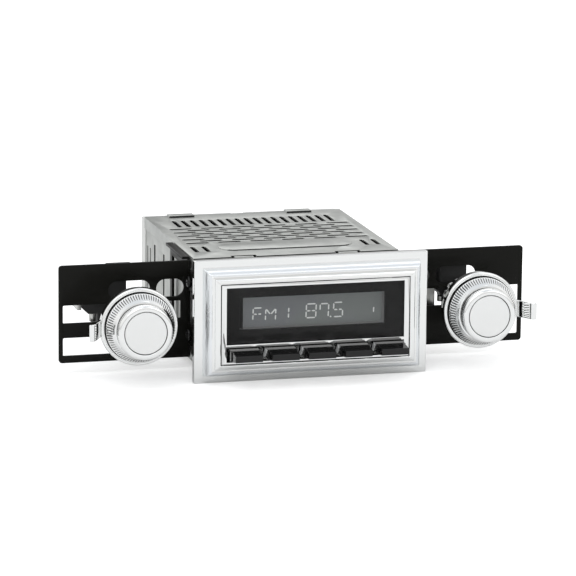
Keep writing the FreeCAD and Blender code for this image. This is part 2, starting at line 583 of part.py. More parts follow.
def make_control(name, side):
    """One control: housing and bush on the bracket, lever ring, push shaft, knob."""
    x, z = f"{name}_shaft", "shaft_z"
    back = "plate_front + plate_thick"

    def coaxial(radius, low, high):
        return rod("y", radius, low, high, x=x, z=z)

    corners, tower_back, tower_top = CASES[name]
    case = prism(f"{name}_case", "XZ", back, f"46 - ({back})", corners)
    case.setExpression("Placement.Base.x", bind(x))
    tower = block((f"{x} - 8.7", f"{x} + 2.6"), (back, tower_back), (15, tower_top))
    boss = coaxial(7, back, 46)
    hollow = coaxial(5.6, f"{back} + 1.2", 44.6)
    throat = coaxial("bush_radius", f"{back} - 1", f"{back} + 2")
    add(f"{name}_control_housing", cut(fuse(case, tower, boss), hollow, throat))
    boxes, (pin_x, pin_y, pin_low, pin_high) = ENCODERS[name]
    cans = [block((f"{x} + {low}", f"{x} + {high}"), deep, tall) for (low, high), deep, tall in boxes]
    pin = rod("z", 1.6, pin_low, pin_high, x=f"{x} + {pin_x}", y=pin_y)
    add(f"{name}_encoder", group(*cans, pin))

    bore = "tube_radius + running_gap"
    bush = fuse(coaxial("bush_radius", 14, f"{back} + 1.2"), coaxial(5.2, f"{back} + 1.2", f"{back} + 2.4"))
    add(f"{name}_bush", cut(bush, coaxial(bore, 10, 40)))
    star = coaxial(9.6, "plate_front - 0.8", "plate_front")
    teeth = [rod("y", 1.1, "plate_front - 2", "plate_front + 1",
                 x=f"{x} + 9.8 * {math.cos(math.radians(30 * n)):.6f}",
                 z=f"shaft_z + 9.8 * {math.sin(math.radians(30 * n)):.6f}") for n in range(12)]
    add(f"{name}_lock_washer", cut(star, coaxial("bush_radius", 20, 30), *teeth))
    nut_radius, turns = 8.4, [math.radians(60 * n) for n in range(6)]
    nut = prism(f"{name}_hexagon", "XZ", "plate_front - 4.0", 3.2,
                [(nut_radius * math.cos(turn), nut_radius * math.sin(turn)) for turn in turns])
    nut.setExpression("Placement.Base.x", bind(x))
    nut.setExpression("Placement.Base.z", bind(z))
    add(f"{name}_shaft_nut", cut(nut, coaxial("bush_radius", 20, 30)))

    tube = fuse(coaxial("tube_radius", "ring_front + 1", 38), coaxial(4.8, 35.5, 37))
    add(f"{name}_outer_shaft", cut(tube, coaxial("rod_radius + running_gap", -5, 40)))
    ring = turned(f"{name}_ring_turned",
                  [("tube_radius", "ring_front + 1.2"), ("ring_radius - 2.4", "ring_front + 1.2"),
                   ("ring_radius - 2.4", "ring_front"), ("ring_radius - 0.5", "ring_front"),
                   ("ring_radius", "ring_front + 0.5"), ("ring_radius", "ring_back - 0.8"),
                   ("ring_radius - 0.8", "ring_back"), ("tube_radius + 4", "ring_back"),
                   ("tube_radius + 2.4", "ring_back + 4"), ("tube_radius", "ring_back + 4")], x, z)
    root, tip, out = "ring_radius - 0.6", "ring_radius + 4.6", "ring_radius + 6.8"
    bend = "ring_front - 7.8"
    strip = [(f"{side} * ({u})", v) for u, v in (
        (root, 0.2), (tip, bend), (out, bend), (out, f"{bend} + 1"), (f"{tip} + 0.6", f"{bend} + 1"),
        (f"{root} + 0.6", 1.6), (f"{root} - 0.8", 1.6), (f"{root} - 0.8", 0.2))]
    lever = prism(f"{name}_lever", "XY", "shaft_z - 3.9", 7.8, strip)
    lever.setExpression("Placement.Base.x", bind(x))
    add(f"{name}_lever_ring", fuse(ring, lever))

    shaft = coaxial("rod_radius", -9, 41)
    flat = block((f"{x} - 3", f"{x} + 3"), (-10, -2), ("shaft_z + 1.5", "shaft_z + 4"))
    add(f"{name}_inner_shaft", cut(shaft, flat))
    plunger = cut(coaxial(3.4, 38.6, 43.2), coaxial("rod_radius + running_gap", 38, 41))
    add(f"{name}_push_plunger", plunger)
    knob = turned(f"{name}_knob",
                  [(0, "cap_front"), ("disc_radius", "cap_front"), ("disc_radius + 0.2", "cap_front - 0.3"),
                   ("cap_radius - 0.7", "cap_front - 0.1"), ("cap_radius", "cap_front + 0.7"),
                   ("cap_radius + 0.2", "cap_front + 4.2"), ("cap_radius + 1.6", "cap_front + 5.2"),
                   ("knob_radius - 0.6", "knob_back - 4.6"), ("knob_radius", "knob_back - 3.8"),
                   ("knob_radius", "knob_back - 0.6"), ("knob_radius - 0.6", "knob_back"),
                   (0, "knob_back")], x, z)
    key_flat = block((f"{x} - 3", f"{x} + 3"), (-10, 0), ("shaft_z + 1.5", "shaft_z + 4"))
    socket = cut(coaxial("rod_radius", -9, 0), key_flat)
    add(f"{name}_knob", cut(knob, socket))
    add(f"{name}_knob_disc", coaxial("disc_radius - 0.1", "cap_front - 0.35", "cap_front"))


# ---------------------------------------------------------------- build and save
make_bezel()
make_nose_trim()
make_nose_housing()
make_display()
make_keys()
make_tray()
make_cover()
make_front_panel()
make_boards()
make_rear()
make_bracket("left", -1)
make_bracket("right", 1)
make_control("left", -1)
make_control("right", 1)
doc.recompute()

for thing in doc.Objects:
    for trouble in ("Invalid", "Error"):
        if trouble in thing.State:
            raise RuntimeError(f"{thing.Name} ({thing.Label}): {thing.State}")
os.makedirs("parts", exist_ok=True)
for label, thing in nodes.items():
    if thing.Shape.isNull() or not thing.Shape.isValid() or not thing.Shape.Solids:
        raise RuntimeError(f"{label} has no valid solid")
    thing.Shape.exportStep(f"parts/{label}.step")
print(len(nodes), "sub-parts")
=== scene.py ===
"""Looks for the shaft-mount car radio: materials, detailed metal work, display, studio."""

import json
import math

import bmesh
import bpy
from mathutils import Matrix, Vector


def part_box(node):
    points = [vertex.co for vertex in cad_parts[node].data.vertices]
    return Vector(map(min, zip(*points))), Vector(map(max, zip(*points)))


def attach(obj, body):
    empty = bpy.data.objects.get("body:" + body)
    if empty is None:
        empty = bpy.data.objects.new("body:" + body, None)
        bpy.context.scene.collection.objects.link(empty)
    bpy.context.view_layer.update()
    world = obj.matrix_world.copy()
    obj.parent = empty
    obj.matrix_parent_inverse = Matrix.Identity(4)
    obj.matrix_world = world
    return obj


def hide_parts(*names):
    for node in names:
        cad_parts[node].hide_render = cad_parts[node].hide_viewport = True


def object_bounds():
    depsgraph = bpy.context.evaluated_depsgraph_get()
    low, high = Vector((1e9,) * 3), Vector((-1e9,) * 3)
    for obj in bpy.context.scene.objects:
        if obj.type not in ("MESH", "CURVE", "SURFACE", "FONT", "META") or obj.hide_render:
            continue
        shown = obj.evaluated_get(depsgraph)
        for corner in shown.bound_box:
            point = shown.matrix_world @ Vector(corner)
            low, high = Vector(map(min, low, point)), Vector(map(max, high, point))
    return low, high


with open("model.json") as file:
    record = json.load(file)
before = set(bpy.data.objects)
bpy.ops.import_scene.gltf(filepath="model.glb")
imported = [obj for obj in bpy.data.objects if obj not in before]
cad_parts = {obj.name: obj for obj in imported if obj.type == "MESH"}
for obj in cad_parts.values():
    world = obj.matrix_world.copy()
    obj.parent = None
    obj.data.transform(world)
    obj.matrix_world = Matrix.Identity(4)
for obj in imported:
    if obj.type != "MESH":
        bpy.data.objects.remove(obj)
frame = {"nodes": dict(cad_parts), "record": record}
cad_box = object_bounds()
MM = 0.001


# ---------------------------------------------------------------- materials
def new_material(name, color, roughness, metallic=0.0, **sockets):
    """A Principled material; sockets are uniform values by input name, words joined by _.

    The name is also kept in mat["slot"], since Blender numbers a material whose name is taken.
    """
    mat = bpy.data.materials.new(name)
    mat["slot"] = name
    mat.use_nodes = True
    shader = mat.node_tree.nodes["Principled BSDF"]
    shader.inputs["Base Color"].default_value = (*color, 1)
    shader.inputs["Roughness"].default_value = roughness
    shader.inputs["Metallic"].default_value = metallic
    for key, value in sockets.items():
        shader.inputs[key.replace("_", " ")].default_value = value
    return mat


def node(owner, kind, **values):
    """A shader node of a material or the world: Capital names set inputs, others set attributes."""
    made = owner.node_tree.nodes.new(kind)
    for key, value in values.items():
        if key[0].isupper():
            made.inputs[key.replace("_", " ")].default_value = value
        else:
            setattr(made, key, value)
    return made


def link(owner, source, output, target, socket):
    """Join two nodes by the names or numbers of their sockets."""
    owner.node_tree.links.new(source.outputs[output], target.inputs[socket])


def grain(mat, scale, stretch=(1, 1, 1), detail=4):
    """Noise in the object's own coordinates, stretched along an axis for brushed metal."""
    place = node(mat, "ShaderNodeTexCoord")
    turn = node(mat, "ShaderNodeMapping", Scale=stretch)
    noise = node(mat, "ShaderNodeTexNoise", Scale=scale, Detail=detail)
    link(mat, place, "Object", turn, "Vector")
    link(mat, turn, "Vector", noise, "Vector")
    return noise


def vary_roughness(mat, noise, low, high):
    """Let the noise carry the roughness from low to high."""
    shader = mat.node_tree.nodes["Principled BSDF"]
    spread = node(mat, "ShaderNodeMapRange", To_Min=low, To_Max=high)
    link(mat, noise, "Fac", spread, "Value")
    link(mat, spread, "Result", shader, "Roughness")


def vary_color(mat, noise, dark, light, low=0.35, high=0.65):
    """Let the noise mottle the colour, dark below low and light above high."""
    shader = mat.node_tree.nodes["Principled BSDF"]
    ramp = node(mat, "ShaderNodeValToRGB")
    ramp.color_ramp.elements[0].position = low
    ramp.color_ramp.elements[0].color = (*dark, 1)
    ramp.color_ramp.elements[1].position = high
    ramp.color_ramp.elements[1].color = (*light, 1)
    link(mat, noise, "Fac", ramp, "Fac")
    link(mat, ramp, "Color", shader, "Base Color")


def add_bump(mat, noise, strength, distance):
    """Fine surface relief from the noise, distance in metres."""
    shader = mat.node_tree.nodes["Principled BSDF"]
    bump = node(mat, "ShaderNodeBump", Strength=strength, Distance=distance)
    link(mat, noise, "Fac", bump, "Height")
    link(mat, bump, "Normal", shader, "Normal")


def paint_slot_shade(mat):
    """Paint shade dull and dark into a varied sheet metal colour, on faces that look along Y as in its
    slots.
    """
    # painted shade: this dark colour stands in for the shade inside the slots
    facing_y, painted_shade_color = 0.8, (0.02, 0.02, 0.02, 1)
    shader = mat.node_tree.nodes["Principled BSDF"]
    ramp = shader.inputs["Base Color"].links[0].from_node
    place = node(mat, "ShaderNodeTexCoord")
    split = node(mat, "ShaderNodeSeparateXYZ")
    size = node(mat, "ShaderNodeMath", operation="ABSOLUTE")
    edge = node(mat, "ShaderNodeMath", operation="GREATER_THAN")
    edge.inputs[1].default_value = facing_y
    blend = node(mat, "ShaderNodeMix", data_type="RGBA")
    blend.inputs[7].default_value = painted_shade_color
    link(mat, place, "Normal", split, "Vector")
    link(mat, split, "Y", size, 0)
    link(mat, size, "Value", edge, 0)
    link(mat, edge, "Value", blend, "Factor")
    link(mat, ramp, "Color", blend, 6)
    link(mat, blend, 2, shader, "Base Color")


def zinc_sheet(name, dark, light):
    """Zinc-plated sheet: mottled colour, with the grain of the rolling along Y."""
    mat = new_material(name, (0.52, 0.53, 0.51), 0.4, 0.85)
    vary_color(mat, grain(mat, 130, detail=6), dark, light)
    rolled = grain(mat, 700, (1, 0.04, 1))
    vary_roughness(mat, rolled, 0.34, 0.46)
    add_bump(mat, rolled, 0.08, 0.00002)
    return mat


def make_materials():
    """Every finish on the radio, by its name."""
    chrome = new_material("chrome", (0.84, 0.845, 0.84), 0.07, 1.0)
    vary_roughness(chrome, grain(chrome, 60), 0.05, 0.10)

    disc = new_material("knob_disc", (0.83, 0.835, 0.83), 0.34, 1.0)
    lathe = grain(disc, 700)
    vary_roughness(disc, lathe, 0.30, 0.40)
    add_bump(disc, lathe, 0.08, 0.00001)

    zinc = zinc_sheet("galvanised", (0.47, 0.48, 0.465), (0.56, 0.57, 0.55))
    # a darker copy of the zinc, with painted shade on its faces that look along Y
    zinc_painted_shade = zinc_sheet("galvanised_painted_shade", (0.42, 0.43, 0.415), (0.50, 0.51, 0.49))
    paint_slot_shade(zinc_painted_shade)

    # painted shade and reflection for the flute valleys of the knobs
    shade = new_material("flute_shade", (0.24, 0.24, 0.24), 0.2, 1.0)
    vary_roughness(shade, grain(shade, 400), 0.16, 0.26)

    satin = new_material("chrome_satin", (0.82, 0.84, 0.86), 0.26, 1.0)
    vary_roughness(satin, grain(satin, 90), 0.22, 0.30)

    black_steel = new_material("black_steel", (0.005, 0.005, 0.004), 0.4, 0.0, Specular_IOR_Level=0.13)
    peel = grain(black_steel, 900, detail=2)
    vary_roughness(black_steel, peel, 0.34, 0.46)
    add_bump(black_steel, peel, 0.12, 0.00003)

    screw = new_material("screw_steel", (0.66, 0.66, 0.65), 0.24, 1.0)
    vary_roughness(screw, grain(screw, 400), 0.16, 0.30)

    aluminium = new_material("aluminium", (0.74, 0.745, 0.73), 0.42, 0.9)
    blast = grain(aluminium, 1500, detail=3)
    vary_roughness(aluminium, blast, 0.38, 0.50)
    add_bump(aluminium, blast, 0.2, 0.00004)

    gloss = new_material("black_gloss", (0.007, 0.007, 0.007), 0.10, 0.0, Specular_IOR_Level=0.33)
    vary_roughness(gloss, grain(gloss, 200), 0.07, 0.14)

    matte = new_material("black_matte", (0.010, 0.010, 0.010), 0.5, 0.0, Specular_IOR_Level=0.3)
    spark = grain(matte, 1400, detail=3)
    vary_roughness(matte, spark, 0.42, 0.58)
    add_bump(matte, spark, 0.25, 0.00005)

    lens = new_material("lens", (0.0, 0.0, 0.0), 0.03, 0.0, Alpha=0.25, Specular_IOR_Level=0.6)
    lcd = new_material("lcd", (0.17, 0.18, 0.18), 0.25, 0.0, Specular_IOR_Level=0.2,
                       Emission_Color=(0.92, 1.0, 1.0, 1), Emission_Strength=0.11)
    vary_color(lcd, grain(lcd, 55, detail=1), (0.225, 0.23, 0.25), (0.23, 0.25, 0.24), 0.4, 0.6)
    vary_roughness(lcd, grain(lcd, 900), 0.22, 0.28)
    # painted light: a faint glow lifts the wall, which gets little light down in its well
    wall = new_material("lcd_wall_glow", (0.2, 0.2, 0.2), 0.5, 0.0,
                        Emission_Color=(1, 1, 1, 1), Emission_Strength=0.07)
    vary_roughness(wall, grain(wall, 900), 0.45, 0.55)
    # painted shade: a void black with almost no reflection stands in for the dark inside the chassis
    # and at the lid's edge
    shade_lining = new_material("shade_lining", (0.004, 0.004, 0.004), 0.9, 0.0, Specular_IOR_Level=0.02)
    vary_roughness(shade_lining, grain(shade_lining, 600), 0.85, 0.95)
    mark = new_material("lcd_mark", (0.85, 0.87, 0.86), 0.4, 0.0,
                        Emission_Color=(0.8, 0.83, 0.82, 1), Emission_Strength=0.5)
    vary_roughness(mark, grain(mark, 900), 0.35, 0.45)
    guide = new_material("light_guide", (0.8, 0.82, 0.8), 0.3, 0.0)
    vary_roughness(guide, grain(guide, 500), 0.25, 0.4)

    board = new_material("board", (0.02, 0.14, 0.06), 0.35, 0.0)
    vary_color(board, grain(board, 300, detail=2), (0.015, 0.11, 0.05), (0.03, 0.17, 0.08), 0.48, 0.52)
    nylon = new_material("white_plastic", (0.75, 0.74, 0.68), 0.4, 0.0)
    vary_roughness(nylon, grain(nylon, 700), 0.35, 0.5)
    tin = new_material("tin", (0.64, 0.64, 0.62), 0.3, 1.0)
    vary_roughness(tin, grain(tin, 300), 0.22, 0.42)
    fuse = new_material("fuse_orange", (0.72, 0.22, 0.02), 0.18, 0.0, Transmission_Weight=0.2)
    vary_roughness(fuse, grain(fuse, 700), 0.15, 0.25)
    brass = new_material("brass", (0.70, 0.52, 0.24), 0.3, 1.0)
    vary_roughness(brass, grain(brass, 500), 0.24, 0.38)
    finishes = (chrome, disc, zinc, zinc_painted_shade, shade, satin, black_steel, screw, aluminium, gloss, matte,
                lens, lcd, wall, shade_lining, mark, guide, board, nylon, tin, fuse, brass)
    return {mat["slot"]: mat for mat in finishes}


MATERIALS = make_materials()
SLOTS = {entry["node"]: entry["material_slot"] for entry in frame["record"]["subparts"]}


def dress(piece, slot):
    """Give the piece one finish in every material slot."""
    piece.data.materials.clear()
    piece.data.materials.append(MATERIALS[slot])


def add_bevel(piece, width, segments, angle):
    """A rounded edge, width in millimetres, wherever faces meet at more than angle degrees."""
    bevel = piece.modifiers.new("edges", "BEVEL")
    bevel.width = width * MM
    bevel.segments = segments
    bevel.limit_method = "ANGLE"
    bevel.angle_limit = math.radians(angle)
    return bevel


def soften(piece, width):
    """Break a CAD node's sharp edges: join its split corners, drop flat seams, bevel."""
    weld = piece.modifiers.new("weld", "WELD")
    weld.merge_threshold = 1e-6
    flat = piece.modifiers.new("flat", "DECIMATE")
    flat.decimate_type = "DISSOLVE"
    flat.angle_limit = math.radians(0.3)
    bevel = add_bevel(piece, width, segments=2, angle=30)
    bevel.use_clamp_overlap = True
    bevel.harden_normals = True
    for face in piece.data.polygons:
        face.use_smooth = True


EDGE_WIDTHS = {"galvanised": 0.12, "black_steel": 0.22, "aluminium": 0.2, "chrome": 0.14,
               "black_matte": 0.2, "black_gloss": 0.2, "tin": 0.12, "screw_steel": 0.12}
THIN_SHEETS, THIN_EDGE = ("top_cover", "chassis_tray"), 0.06
for node_name, cad_piece in frame["nodes"].items():
    node_slot, is_thin = SLOTS[node_name], node_name in THIN_SHEETS
    # the lid and the tray take the darker zinc with painted shade in their slots
    dress(cad_piece, "galvanised_painted_shade" if is_thin else node_slot)
    if node_slot in EDGE_WIDTHS:
        soften(cad_piece, THIN_EDGE if is_thin else EDGE_WIDTHS[node_slot])


def clean_mesh(name, verts, faces):
    """A mesh from millimetres, with doubled points joined and every face turned outward."""
    mesh = bpy.data.meshes.new(name)
    mesh.from_pydata([Vector(v) * MM for v in verts], [], faces)
    shape = bmesh.new()
    shape.from_mesh(mesh)
    bmesh.ops.remove_doubles(shape, verts=shape.verts, dist=1e-7)
    bmesh.ops.recalc_face_normals(shape, faces=shape.faces)
    shape.to_mesh(mesh)
    shape.free()
    return mesh


def shade_smooth(mesh, crease):
    """Smooth shading that stays sharp where faces meet at more than crease degrees."""
    for face in mesh.polygons:
        face.use_smooth = True
    mesh.set_sharp_from_angle(angle=math.radians(crease))


def add_object(name, data):
    """An object with this mesh, light or camera, linked into the scene."""
    made = bpy.data.objects.new(name, data)
    bpy.context.scene.collection.objects.link(made)
    return made


def build(name, finish, body, verts, faces, nodes=(), bevel=0.0, crease=35):
    """A smooth mesh in millimetres that rides on a body and stands for CAD nodes."""
    mesh = clean_mesh(name, verts, faces)
    shade_smooth(mesh, crease)
    mesh.materials.append(MATERIALS[finish])
    piece = add_object(name, mesh)
    if bevel:
        add_bevel(piece, bevel, segments=3, angle=crease)
    even = piece.modifiers.new("even", "WEIGHTED_NORMAL")
    even.keep_sharp = True
    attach(piece, body)
    if nodes:
        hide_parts(*nodes)
    return piece


def join(*parts):
    """Several (verts, faces) as one."""
    verts, faces = [], []
    for some_verts, some_faces in parts:
        faces += [tuple(i + len(verts) for i in face) for face in some_faces]
        verts += some_verts
    return verts, faces


def loft(rings, closed=False):
    """Faces between equal rings of points; closed joins the last ring to the first."""
    count = len(rings[0])
    verts = [point for ring in rings for point in ring]
    faces = []
    for a in range(len(rings) if closed else len(rings) - 1):
        b = (a + 1) % len(rings)
        for i in range(count):
            k = (i + 1) % count
            faces.append((a * count + i, a * count + k, b * count + k, b * count + i))
    if not closed:
        faces.append(tuple(range(count)))
        faces.append(tuple(range(len(verts) - 1, len(verts) - count - 1, -1)))
    return verts, faces


def prism(points, low, high, axis="X"):
    """A flat outline pushed along an axis: X takes (y, z) points and Z takes (x, y) points."""
    if axis == "X":
        return loft([[(at, u, v) for u, v in points] for at in (low, high)])
    return loft([[(u, v, at) for u, v in points] for at in (low, high)])


def box(x, y, z):
    """A block between two (low, high) limits along each axis."""
    return prism([(y[0], z[0]), (y[1], z[0]), (y[1], z[1]), (y[0], z[1])], *x)


def spun(profile, x, z, count=96, closed=False, wave=None):
    """A profile of (radius, y) turned about the axis along Y through (x, z).

    wave(turn, radius, y) gives the radius at that turn of the profile's point.
    """
    rings = []
    for radius, y in profile:
        ring = []
        for step in range(count):
            turn = 2 * math.pi * step / count
            reach = wave(turn, radius, y) if wave else radius
            ring.append((x + reach * math.cos(turn), y, z + reach * math.sin(turn)))
        rings.append(ring)
    return loft(rings, closed)


def moved(shape, spin, place):
    """A (verts, faces) turned by a matrix and then carried to a place."""
    verts, faces = shape
    return [tuple(spin @ Vector(v) + Vector(place)) for v in verts], faces


def arc(middle, radius, start, end, steps):
    """Points on an arc, with its angles in degrees."""
    turns = [math.radians(start + (end - start) * i / steps) for i in range(steps + 1)]
    return [(middle[0] + radius * math.cos(t), middle[1] + radius * math.sin(t)) for t in turns]


# ---------------------------------------------------------------- bezel
BEZEL_HALF_W, BEZEL_HALF_H = 55, 28.5
SIDE_INSET, RAIL_INSET = 10.6, 9.9      # how far in the opening starts, at a side and at a rail


def frame_ring(half_w, half_h, y, radius):
    """A rectangle with small rounded corners, as points in the plane at y."""
    corner_steps = 4
    points = []
    for sx, sz, start in ((1, 1, 0), (-1, 1, 90), (-1, -1, 180), (1, -1, 270)):
        middle = (sx * (half_w - radius), sz * (half_h - radius))
        points += [(u, y, v) for u, v in arc(middle, radius, start, start + 90, corner_steps)]
    return points


def make_bezel():
    """Chromed casting: flat rim, cove, narrow step, crowned inner ridge, hollow behind."""
    cove = [(3.95 + 2.75 * (1 - math.cos(t)), -3.15 - 6.4 * math.sin(t))
            for t in (math.radians(90 * i / 12) for i in range(1, 13))]
    rim = [(0, 0), (0, -2.5), (0.06, -2.78), (0.22, -2.95), (0.5, -3.02), (3.6, -3.06), (3.9, -3.12)]
    step = [(6.86, -9.78), (7.1, -9.9), (7.8, -9.96), (7.84, -9.7), (8.02, -9.7), (8.06, -10.45)]
    ridge = [(8.4, -10.72), (8.9, -10.98), (9.4, -11.18), (9.8, -11.3), (10.1, -11.36),
             (10.35, -11.3), (10.52, -11.1), (10.6, -10.8), (10.6, 0)]
    hollow = [(9.2, 0), (9.2, -8.4), (7.4, -7.6), (4.5, -1.6), (4.1, 0)]
    rings = []
    for inset, y in rim + cove + step + ridge + hollow:
        radius = 0.45 if inset < 5 or inset > 9 else 0.35
        rings.append(frame_ring(BEZEL_HALF_W - inset, BEZEL_HALF_H - inset * RAIL_INSET / SIDE_INSET,
                                y, radius))
    verts, faces = loft(rings, closed=True)
    casting = build("bezel_casting", "chrome", "chassis", verts, faces, ["bezel"], crease=28)
    casting.data.materials.append(MATERIALS["chrome_satin"])
    for face in casting.data.polygons:
        across, depth, up = face.center / MM
        if -9.6 < depth < -3.15 and abs(face.normal.y) < 0.999:
            from_side, from_rail = BEZEL_HALF_W - abs(across), BEZEL_HALF_H - abs(up)
            in_cove = min(from_side, from_rail * SIDE_INSET / RAIL_INSET) < 6.9
            face.material_index = 1 if in_cove else 0


# ---------------------------------------------------------------- preset keys
KEY_COUNT, KEY_PITCH, KEY_HALF_WIDTH = 5, 17.1, 6.8
CAP_INSET = 0.42        # a cap is this much narrower than its body, at each side
STEM_END = 3.44         # 0.06 short of the switch


def make_key(index):
    """A raked finger cap, narrower than its body, with the stem that reaches for its switch."""
    middle = (index - (KEY_COUNT + 1) / 2) * KEY_PITCH
    cap = prism([(-23.5, -11.9), (-23.5, -14.85), (-22.9, -15.0), (-16.4, -15.95), (-16.4, -11.15)],
                middle - KEY_HALF_WIDTH + CAP_INSET, middle + KEY_HALF_WIDTH - CAP_INSET)
    build(f"key_cap_{index}", "black_gloss", f"key_{index}", *cap, [f"preset_key_{index}"], bevel=0.3)
    body = prism([(-16.6, -11.35), (-16.6, -15.7), (-8, -17.1), (-4.9, -17.1), (-4.9, -11.0),
                  (-13.5, -11.05)], middle - KEY_HALF_WIDTH, middle + KEY_HALF_WIDTH)
    stem = box((middle - 4, middle + 4), (-5.9, STEM_END), (-14.7, -11.7))
    build(f"key_body_{index}", "black_gloss", f"key_{index}", *join(body, stem), bevel=0.12)


# ---------------------------------------------------------------- display marks
# Each bar runs (x, z) to (x, z) in a cell 1 wide and 1 high.
BARS = {"a": (0, 1, 1, 1), "b": (1, 1, 1, 0.5), "c": (1, 0.5, 1, 0), "d": (0, 0, 1, 0),
        "e": (0, 0.5, 0, 0), "f": (0, 1, 0, 0.5), "g": (0, 0.5, 0.5, 0.5), "h": (0.5, 0.5, 1, 0.5),
        "i": (0, 1, 0.5, 0.5), "j": (0.5, 0.5, 1, 1), "k": (0, 0, 0, 1)}
# Lit bars, left edge, width, foot and height of each figure.
READOUT = [("afegh", -28.1, 4.2, 0.15, 5.7), ("febcij", -22.2, 4.7, -0.2, 5.5),
           ("bc", -15.5, 4.1, 0.3, 5.3), ("abcdefgh", -3.1, 4.6, 0.2, 6.4),
           ("afbc", 3.4, 4.0, 0.1, 6.3), ("afghcd", 9.8, 4.3, 0.1, 6.6), ("k", 28.9, 2.0, 1.1, 3.0)]


def make_marks():
    """Lit strokes of the display: pointed bars that stop short of each other, leaning a little."""
    front, back, lean, half, gap = -4.86, -4.86 + 0.05, 0.04, 0.3, 0.28
    shapes = []
    for lit, left, width, foot, height in READOUT:
        for bar in lit:
            x0, z0, x1, z1 = BARS[bar]
            start = Vector((left + x0 * width + z0 * height * lean, foot + z0 * height))
            end = Vector((left + x1 * width + z1 * height * lean, foot + z1 * height))
            way = (end - start).normalized()
            side = Vector((-way.y, way.x)) * half
            start, end = start + way * gap, end - way * gap
            tip = way * half
            ring = [start, start + tip + side, end - tip + side,
                    end, end - tip - side, start + tip - side]
            shapes.append(loft([[(p.x, y, p.y) for p in ring] for y in (front, back)]))
    point = spun([(0.38, front), (0.38, back)], 8.5, 0.25, 16)
    build("lcd_strokes", "lcd_mark", "chassis", *join(*shapes, point))


def make_window_liner():
    """The thin wall round the display window, made pale by a painted glow."""
    left, right, low, high, wall = -33.88, 32.88, -2.88, 11.88, 0.12
    rings = []
    for grow, y in ((0, -8.45), (0, -4.82), (-wall, -4.82), (-wall, -8.45)):
        west, east, foot, top = left - grow, right + grow, low - grow, high + grow
        rings.append([(west, y, foot), (east, y, foot), (east, y, top), (west, y, top)])
    build("lcd_surround", "lcd_wall_glow", "chassis", *loft(rings, closed=True))


# ---------------------------------------------------------------- knobs and lever rings
def centre(name):
    """The middle of a CAD node's box, in millimetres."""
    low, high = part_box(name)
    return (Vector(low) + Vector(high)) / 2 / MM


SHAFTS = {side: centre(f"{side}_knob_disc").x for side in ("left", "right")}
SHAFT_Z = centre("left_knob_disc").z
FLUTES, FLUTE_DEPTH = 80, 0.5


def make_knob(name):
    """A fluted skirt, polished cone, neck painted black as a dark reflection, and cap with a dished
    satin disc.
    """
    x = SHAFTS[name]
    skirt = [(9.0, -2.6), (15.3, -2.6), (15.75, -2.75), (15.92, -3.1), (15.95, -3.5)]
    slope = [(15.9 - 0.32 * i, -3.8 - 0.49 * i) for i in range(9)]
    cone = [(13.25, -8.0), (13.1, -8.3), (12.9, -8.6), (12.35, -8.7), (12.35, -11.4), (12.6, -11.45)]
    cap = [(12.62, -11.6), (12.62, -13.0), (12.56, -13.4), (12.38, -13.9), (12.08, -14.3),
           (11.7, -14.52), (11.2, -14.6), (10.3, -14.64), (10.05, -14.62), (9.94, -14.5),
           (9.9, -13.9), (9.75, -13.8)]
    bore = [(9.7, -13.6), (2.1, -13.6), (2.1, -9.0), (9.0, -9.0)]

    def flute(turn, radius, y):
        if not -6.8 < y < -3.2 or radius < 13:
            return radius
        fade = min(1, (y + 7.0) / 1.3)
        return radius - FLUTE_DEPTH * fade * (1 - abs(math.sin(turn * FLUTES / 2)))

    turned = spun(skirt + slope + cone + cap + bore, x, SHAFT_Z, FLUTES * 6, True, flute)
    knob = build(f"{name}_knob_body", "chrome", f"{name}_knob_shaft", *turned, [f"{name}_knob"],
                 crease=40)
    # dark chrome painted into the flute valleys as shade and reflection
    knob.data.materials.append(MATERIALS["flute_shade"])
    knob.data.materials.append(MATERIALS["black_gloss"])
    # Painted shade and reflections: dark chrome in the flute valleys, black on the neck and in the gap
    # round the disc.
    for face in knob.data.polygons:
        across, up = face.center.x / MM - x, face.center.z / MM - SHAFT_Z
        radius, depth = math.hypot(across, up), face.center.y / MM
        phase = math.atan2(up, across) * FLUTES / (2 * math.pi)
        in_valley = abs(phase - round(phase)) < 0.15 and radius > 13.4 and -6.6 < depth < -3.4
        in_neck = 12.2 < radius < 12.45 and -11.4 < depth < -8.7
        in_disc_gap = 9.6 < radius < 9.93 and depth > -14.4
        if in_valley:
            face.material_index = 1
        elif in_neck or in_disc_gap:
            face.material_index = 2
    dish = [(9.6, -13.9), (9.64, -14.36), (9.55, -14.46), (9.3, -14.44)]
    dish += [(r, -14.44 + 0.30 * (1 - (r / 9.3) ** 2)) for r in (8.5, 7.2, 5.6, 3.8, 2.0, 0.6)]
    dish += [(0.02, -14.14), (0.02, -13.9)]
    build(f"{name}_knob_face", "knob_disc", f"{name}_knob_shaft", *spun(dish, x, SHAFT_Z, 128, True),
          [f"{name}_knob_disc"], crease=30)


